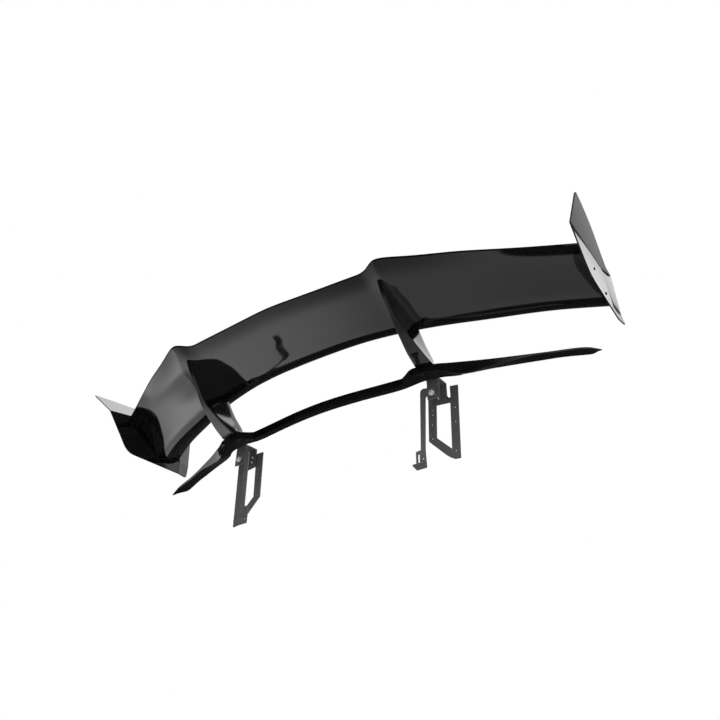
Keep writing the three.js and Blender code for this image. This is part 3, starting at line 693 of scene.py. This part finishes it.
def softbox(name, place, aim, size, radiance):
    """A rectangular soft light that shows in reflections with this brightness."""
    data = bpy.data.lights.new(name, "AREA")
    data.shape = "RECTANGLE"
    data.size, data.size_y = size
    data.energy = radiance * math.pi * size[0] * size[1]
    light = bpy.data.objects.new(name, data)
    light.location = place
    light.rotation_euler = (Vector(aim) - Vector(place)).to_track_quat("-Z", "Y").to_euler()
    light.visible_camera = False
    bpy.context.scene.collection.objects.link(light)


def white_surroundings(stage):
    """White to the eye and to matt surfaces.

    Gloss mirrors a dark room with a soft strip light underneath.
    """
    world = bpy.data.worlds.new("White surroundings")
    world.use_nodes = True
    tree = world.node_tree
    seen = add(tree, "ShaderNodeLightPath")
    way = add(tree, "ShaderNodeTexCoord").outputs["Generated"]
    across, ahead, up = add(tree, "ShaderNodeSeparateXYZ", {"Vector": way}).outputs
    strip = 1.0
    # a direction, where the strip starts and stops easing along it, and its brightness there: from
    # back to front, at the front edge, at the top edge, and from the right end to the left
    for direction, start, end, low, high in (
            (ahead, -0.45, 0.25, 0.4, 1.0),
            (ahead, 0.34, 0.28, 0.0, 1.0),
            (up, -0.25, -0.55, 0.0, 1.0),
            (across, -0.15, -0.5, stage.strip_right, stage.strip_left)):
        eased = add(tree, "ShaderNodeMapRange", {
            "Value": direction, "From Min": start, "From Max": end, "To Min": low, "To Max": high,
        }, interpolation_type="SMOOTHSTEP").outputs["Result"]
        strip = add(tree, "ShaderNodeMath", {0: strip, 1: eased}, operation="MULTIPLY").outputs[0]
    mirrored_room = add(tree, "ShaderNodeMath", {0: strip, 1: stage.shade}, operation="ADD").outputs[0]
    plain = add(tree, "ShaderNodeMath",
                {0: seen.outputs["Is Camera Ray"], 1: seen.outputs["Is Diffuse Ray"]},
                operation="MAXIMUM").outputs[0]
    strength = add(tree, "ShaderNodeMapRange", {
        "Value": plain, "To Min": mirrored_room, "To Max": stage.backdrop}).outputs["Result"]
    background = tree.nodes["Background"]
    background.inputs["Color"].default_value = (1, 1, 1, 1)
    tree.links.new(strength, background.inputs["Strength"])
    return world


class REARWING_OT_stage(bpy.types.Operator):
    """Lay the pale floor and set the soft lights"""
    bl_idname = "rear_wing.stage"
    bl_label = "Build Stage"

    def execute(self, context):
        stage = context.scene.rear_wing_stage
        bm = bmesh.new()
        bmesh.ops.create_circle(bm, cap_ends=True, segments=FLOOR_SIDES, radius=stage.floor_radius)
        bmesh.ops.translate(bm, verts=bm.verts, vec=(0, 0, stage.floor_drop))
        floor = new_object("floor", bm)
        material, tree = shader_tree("matt_floor_paint", {"Roughness": 0.9})
        vary(tree, stage.floor_colour, 0.97, grain(tree, 40.0))
        floor.data.materials.append(material)
        floor.visible_glossy = False
        context.scene.world = white_surroundings(stage)
        context.scene.view_settings.view_transform = "Standard"
        for box in SOFTBOXES:
            softbox(*box)
        return {"FINISHED"}


class REARWING_OT_wing(bpy.types.Operator):
    """Build the swept wing shell"""
    bl_idname = "rear_wing.wing"
    bl_label = "Build Wing Shell"

    def execute(self, context):
        stations = [-x for x in reversed(WING_STATIONS[1:])] + WING_STATIONS
        tail = len(SECTION) - 1
        wing = lofted("wing_shell", [wing_loop(x) for x in stations], {tail: 1.0, tail + 1: 1.0},
                      context.scene.rear_wing_sizes.smoothness)
        settle(wing, "gloss_black_shell", "wing_upper_skin", "wing_lower_skin")
        return {"FINISHED"}


class REARWING_OT_end_plates(bpy.types.Operator):
    """Build the creased end plates"""
    bl_idname = "rear_wing.end_plates"
    bl_label = "Build End Plates"

    def execute(self, context):
        for node in both_sides("end_plate"):
            plate = refined(node + "_panel", [node], context.scene.rear_wing_sizes.plate_edge,
                            segments=3, fold=24)
            settle(plate, "gloss_black_shell", node)
        return {"FINISHED"}


class REARWING_OT_uprights(bpy.types.Operator):
    """Build the hollow uprights up to the underside of the wing"""
    bl_idname = "rear_wing.uprights"
    bl_label = "Build Uprights"

    def execute(self, context):
        wing = bpy.data.objects["wing_shell"]
        loops = [upright_loop(row) for row in UPRIGHT_SECTIONS]
        for side in SIDES:
            cage = loops if side == "right" else mirrored(loops)
            upright = lofted(f"{side}_upright_shell", cage, UPRIGHT_CREASES,
                             context.scene.rear_wing_sizes.smoothness)
            trim = upright.modifiers.new("Trim", "BOOLEAN")
            trim.operation = "DIFFERENCE"
            trim.solver = "EXACT"
            trim.object = wing
            flat_mesh(upright)
            keep_lowest_piece(upright)
            shade(upright)
            settle(upright, "gloss_black_shell", f"{side}_upright")
        return {"FINISHED"}


class REARWING_OT_base(bpy.types.Operator):
    """Build the bridge and the two lips of the base"""
    bl_idname = "rear_wing.base"
    bl_label = "Build Base"

    def execute(self, context):
        levels = context.scene.rear_wing_sizes.smoothness
        middle = [row for row in BASE_SECTIONS if row[0] <= BASE_SPLIT]
        both = [(-row[0], *row[1:]) for row in reversed(middle[1:])] + middle
        bridge = lofted("base_bridge_shell", [base_loop(row) for row in both], BASE_CREASES, levels)
        settle(bridge, "gloss_black_shell", "base_bridge")
        outer = [(max(row[0], BASE_SPLIT + PART_LINE), *row[1:])
                 for row in BASE_SECTIONS if row[0] >= BASE_SPLIT]
        loops = [base_loop(row) for row in outer]
        for side in SIDES:
            cage = loops if side == "right" else mirrored(loops)
            lip = lofted(f"{side}_base_lip_shell", cage, BASE_CREASES, levels)
            settle(lip, "gloss_black_shell", f"{side}_base_lip")
        return {"FINISHED"}


class REARWING_OT_brackets(bpy.types.Operator):
    """Build the folded channels, the windowed frames and the swinging stays"""
    bl_idname = "rear_wing.brackets"
    bl_label = "Build Brackets"

    def execute(self, context):
        edge = context.scene.rear_wing_sizes.sheet_edge
        for node in both_sides("bracket_channel", "bracket_frame", "stay"):
            body = f"{node}_arm" if node.endswith("_stay") else BODY
            sheet = refined(node + "_sheet", [node], edge)
            settle(sheet, "satin_bracket_steel", node, body=body)
        return {"FINISHED"}


class REARWING_OT_fasteners(bpy.types.Operator):
    """Set the bolts, screws, nuts and washers"""
    bl_idname = "rear_wing.fasteners"
    bl_label = "Set Fasteners"

    def execute(self, context):
        sizes = context.scene.rear_wing_sizes
        pivot_seats = {node: -PIVOT_AXIS for node in both_sides("pivot_bolt")}
        bolts("pivot_bolts", pivot_seats, "zinc_fasteners", **PIVOT_BOLT)
        frame_seats = {node: PIVOT_AXIS for node in both_sides("frame_bolt_1", "frame_bolt_2")}
        bolts("frame_bolts", frame_seats, "zinc_fasteners", sizes.bolt_head, **FRAME_BOLT)
        foot_seats = {node: UP for node in both_sides("foot_bolt_1", "foot_bolt_2")}
        low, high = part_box("right_foot_bolt_1")
        bolts("foot_bolts", foot_seats, "zinc_fasteners", sizes.bolt_head,
              shank_length=high.z - low.z - FOOT_HEAD_AND_GAP, **FOOT_BOLT)
        inboard = {"right": -ACROSS, "left": ACROSS}
        upright_seats = {f"{side}_upright_screw_{i}": inboard[side] for i in (1, 2) for side in SIDES}
        bolts("upright_screws", upright_seats, "zinc_fasteners", sizes.screw_head, **UPRIGHT_SCREW)
        plate_seats = {f"{side}_end_plate_screw_{i}": -inboard[side] for i in (1, 2) for side in SIDES}
        bolts("end_plate_screws", plate_seats, "black_screws", sizes.screw_head, **PLATE_SCREW)
        for name in ("pivot_washer", "pivot_nut"):
            nodes = both_sides(name)
            settle(refined(name + "_pair", nodes, sizes.sheet_edge), "zinc_fasteners", *nodes)
        return {"FINISHED"}


class REARWING_OT_inner_parts(bpy.types.Operator):
    """Dress the inner structure that the shells hide"""
    bl_idname = "rear_wing.inner_parts"
    bl_label = "Dress Inner Parts"

    def execute(self, context):
        for row in frame["record"]["subparts"]:
            packed = frame["nodes"][row["node"]]
            if not packed.hide_render:
                packed.data.materials.clear()
                packed.data.materials.append(finish(row["material_slot"]))
        return {"FINISHED"}


OPERATORS = (
    REARWING_OT_camera,
    REARWING_OT_stage,
    REARWING_OT_wing,
    REARWING_OT_end_plates,
    REARWING_OT_uprights,
    REARWING_OT_base,
    REARWING_OT_brackets,
    REARWING_OT_fasteners,
    REARWING_OT_inner_parts,
)


class REARWING_PT_panel(bpy.types.Panel):
    """Steps that build the rear wing"""
    bl_label = "Rear Wing"
    bl_space_type = "VIEW_3D"
    bl_region_type = "UI"
    bl_category = "Rear Wing"

    def draw(self, context):
        for operator in OPERATORS:
            self.layout.operator(operator.bl_idname)
        for settings in (context.scene.rear_wing_sizes, context.scene.rear_wing_colours,
                         context.scene.rear_wing_stage):
            for name in type(settings).__annotations__:
                self.layout.prop(settings, name)


CLASSES = (RearWingSizes, RearWingColours, RearWingStage, *OPERATORS, REARWING_PT_panel)


def register():
    for cls in CLASSES:
        bpy.utils.register_class(cls)
    bpy.types.Scene.rear_wing_sizes = bpy.props.PointerProperty(type=RearWingSizes)
    bpy.types.Scene.rear_wing_colours = bpy.props.PointerProperty(type=RearWingColours)
    bpy.types.Scene.rear_wing_stage = bpy.props.PointerProperty(type=RearWingStage)


def unregister():
    del bpy.types.Scene.rear_wing_stage
    del bpy.types.Scene.rear_wing_colours
    del bpy.types.Scene.rear_wing_sizes
    for cls in reversed(CLASSES):
        bpy.utils.unregister_class(cls)


def main():
    register()
    bpy.ops.rear_wing.camera()
    bpy.ops.rear_wing.stage()
    bpy.ops.rear_wing.wing()
    bpy.ops.rear_wing.end_plates()
    bpy.ops.rear_wing.uprights()
    bpy.ops.rear_wing.base()
    bpy.ops.rear_wing.brackets()
    bpy.ops.rear_wing.fasteners()
    bpy.ops.rear_wing.inner_parts()


if __name__ == "__main__":
    main()
